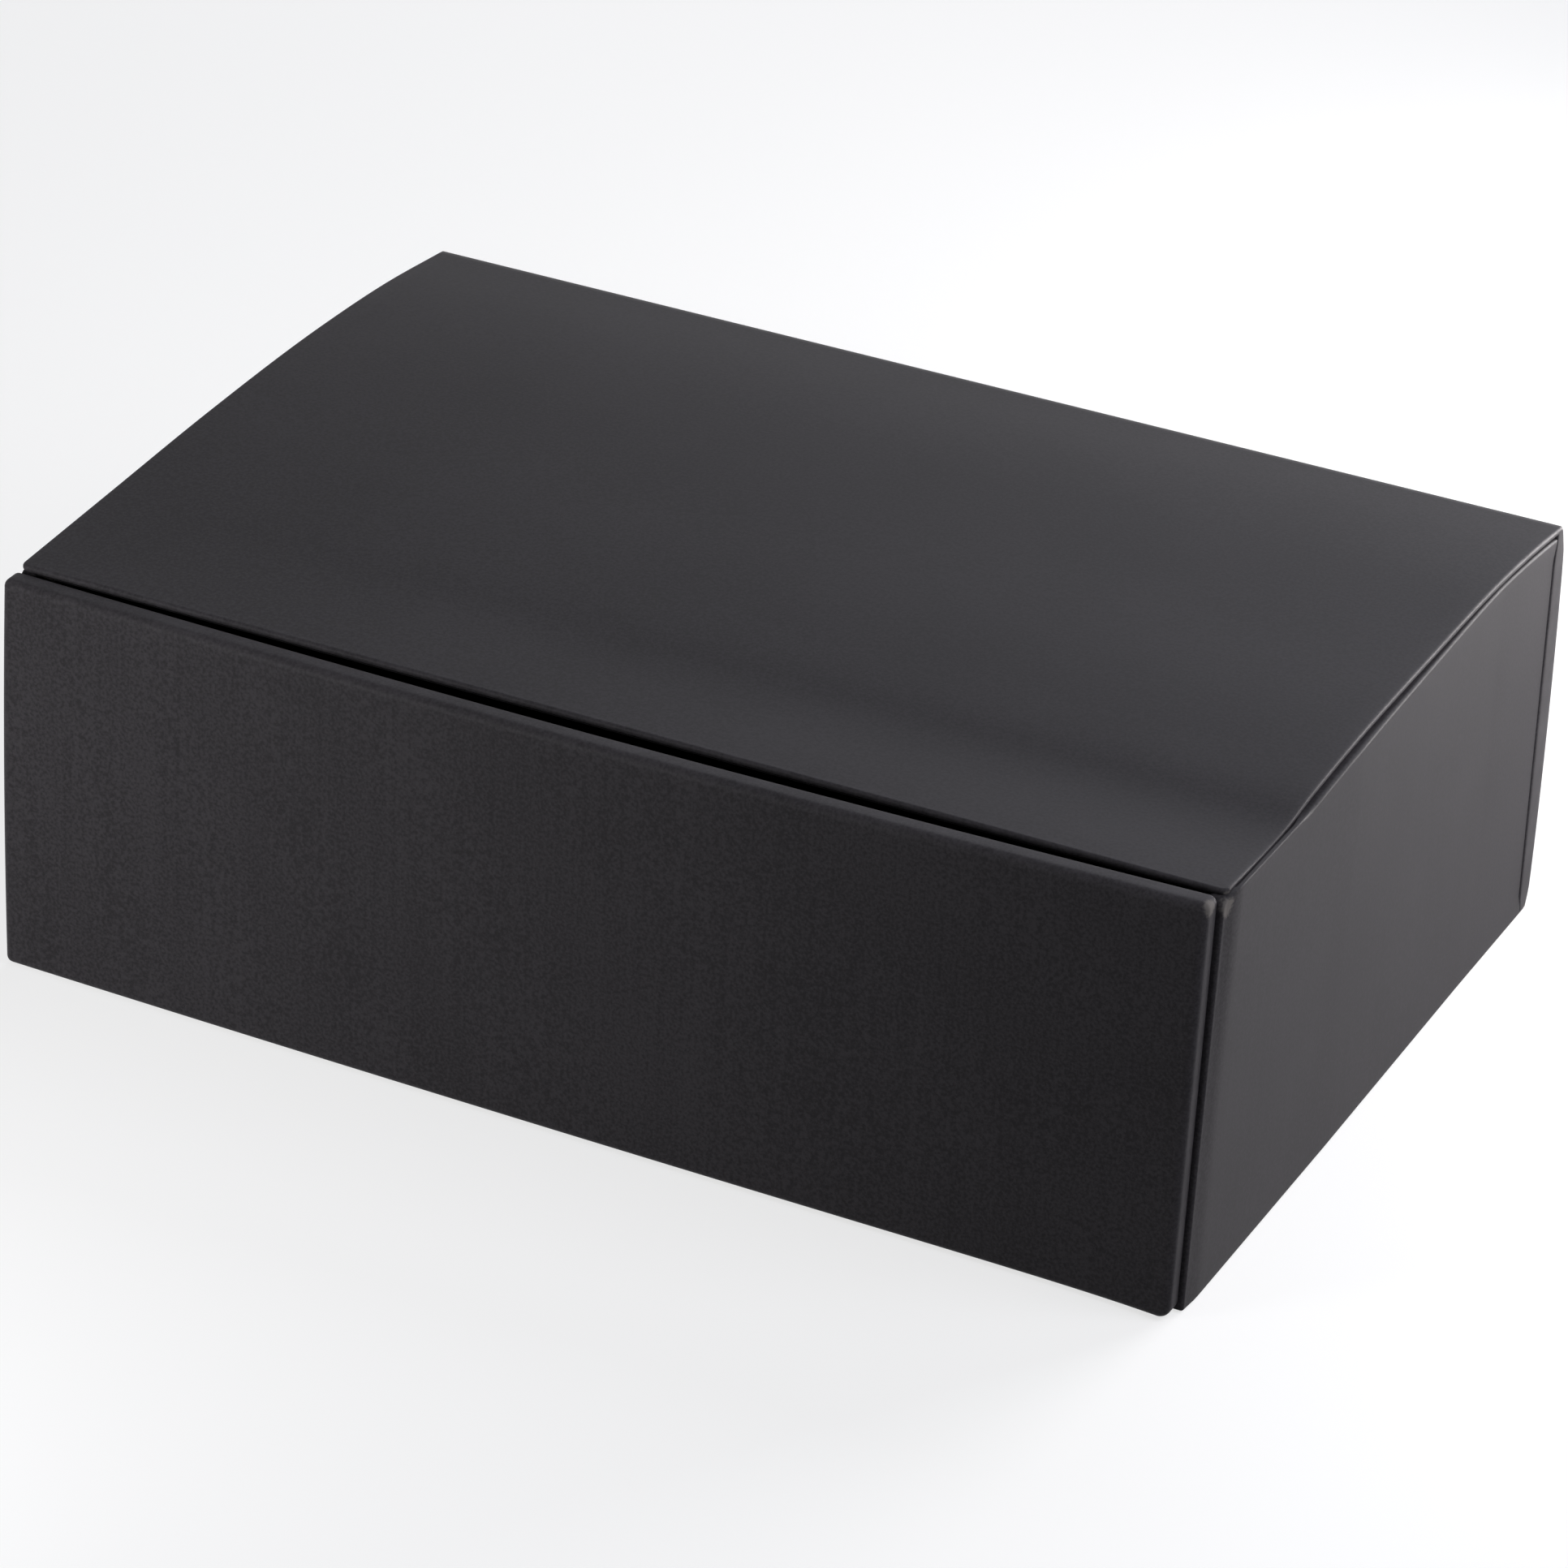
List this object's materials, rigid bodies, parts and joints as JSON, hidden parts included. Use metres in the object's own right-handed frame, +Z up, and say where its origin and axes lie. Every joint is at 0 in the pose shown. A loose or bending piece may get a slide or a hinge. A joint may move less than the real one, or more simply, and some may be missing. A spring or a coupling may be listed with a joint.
{
  "type": "sliding drawer gift box",
  "caption": "Black paper-wrapped rigid gift box: an open-fronted board case and a full-width drawer that slides out behind a full-height front panel.",
  "frame": {"origin": "centre of the case's flat underside", "axes": "+X along the long front, to the viewer's right; +Y from the front panel to the back; +Z up. The drawer slides out along -Y."},
  "size_m": [0.2205, 0.1544, 0.0781],
  "materials": {
    "black_wrap": "matte film-laminated black wrapping paper",
    "black_liner": "uncoated black lining paper",
    "greyboard": "raw recycled greyboard",
    "kraft_tape": "brown gummed stay tape"
  },
  "bodies": {
    "case": {"case_top_board": "greyboard", "case_base_board": "greyboard", "case_back_board": "greyboard", "case_left_board": "greyboard", "case_right_board": "greyboard", "case_wrap": "black_wrap", "case_base_sheet": "black_wrap", "case_left_wrap": "black_wrap", "case_right_wrap": "black_wrap", "case_top_liner": "black_liner", "case_base_liner": "black_liner", "case_back_liner": "black_liner", "case_left_liner": "black_liner", "case_right_liner": "black_liner"},
    "drawer": {"front_panel_board": "greyboard", "front_panel_wrap": "black_wrap", "front_panel_backing": "black_liner", "tray_base_board": "greyboard", "tray_front_wall": "greyboard", "tray_back_wall": "greyboard", "tray_left_wall": "greyboard", "tray_right_wall": "greyboard", "tray_wrap": "black_wrap", "tray_base_sheet": "black_wrap", "tray_wall_liner": "black_liner", "tray_floor_liner": "black_liner", "tray_corner_stays": "kraft_tape"}
  },
  "joints": [
    {"name": "drawer_slide", "type": "slide", "parent": "case", "child": "drawer", "axis": [0, -1, 0], "range_m": [0, 0.145]}
  ]
}
